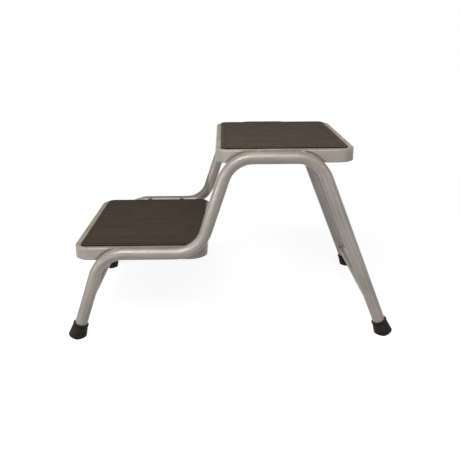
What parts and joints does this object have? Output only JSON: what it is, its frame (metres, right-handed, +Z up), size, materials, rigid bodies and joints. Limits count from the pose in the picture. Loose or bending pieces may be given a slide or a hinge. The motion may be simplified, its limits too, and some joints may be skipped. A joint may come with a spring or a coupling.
{
  "type": "two-tread entry step",
  "caption": "Welded steel two-tread step stool for a caravan door, with bent tube side frames, pressed treads with ribbed rubber mats, two stretchers and rubber feet.",
  "frame": {"origin": "on the floor, under the middle of the bounding box", "axes": "+X is the climbing direction, from the low tread to the high one; +Y runs across the width; +Z is up"},
  "size_m": [0.6799, 0.4314, 0.392],
  "materials": {
    "painted_steel": "satin",
    "mat_rubber": "matte",
    "foot_rubber": "matte"
  },
  "bodies": {
    "root": {"side_frame_near": "painted_steel", "side_frame_far": "painted_steel", "lower_tread": "painted_steel", "upper_tread": "painted_steel", "lower_mat": "mat_rubber", "upper_mat": "mat_rubber", "front_stretcher": "painted_steel", "rear_stretcher": "painted_steel", "foot_front_near": "foot_rubber", "foot_front_far": "foot_rubber", "foot_rear_near": "foot_rubber", "foot_rear_far": "foot_rubber", "lower_tread_beads": "painted_steel", "upper_tread_beads": "painted_steel"}
  },
  "joints": []
}
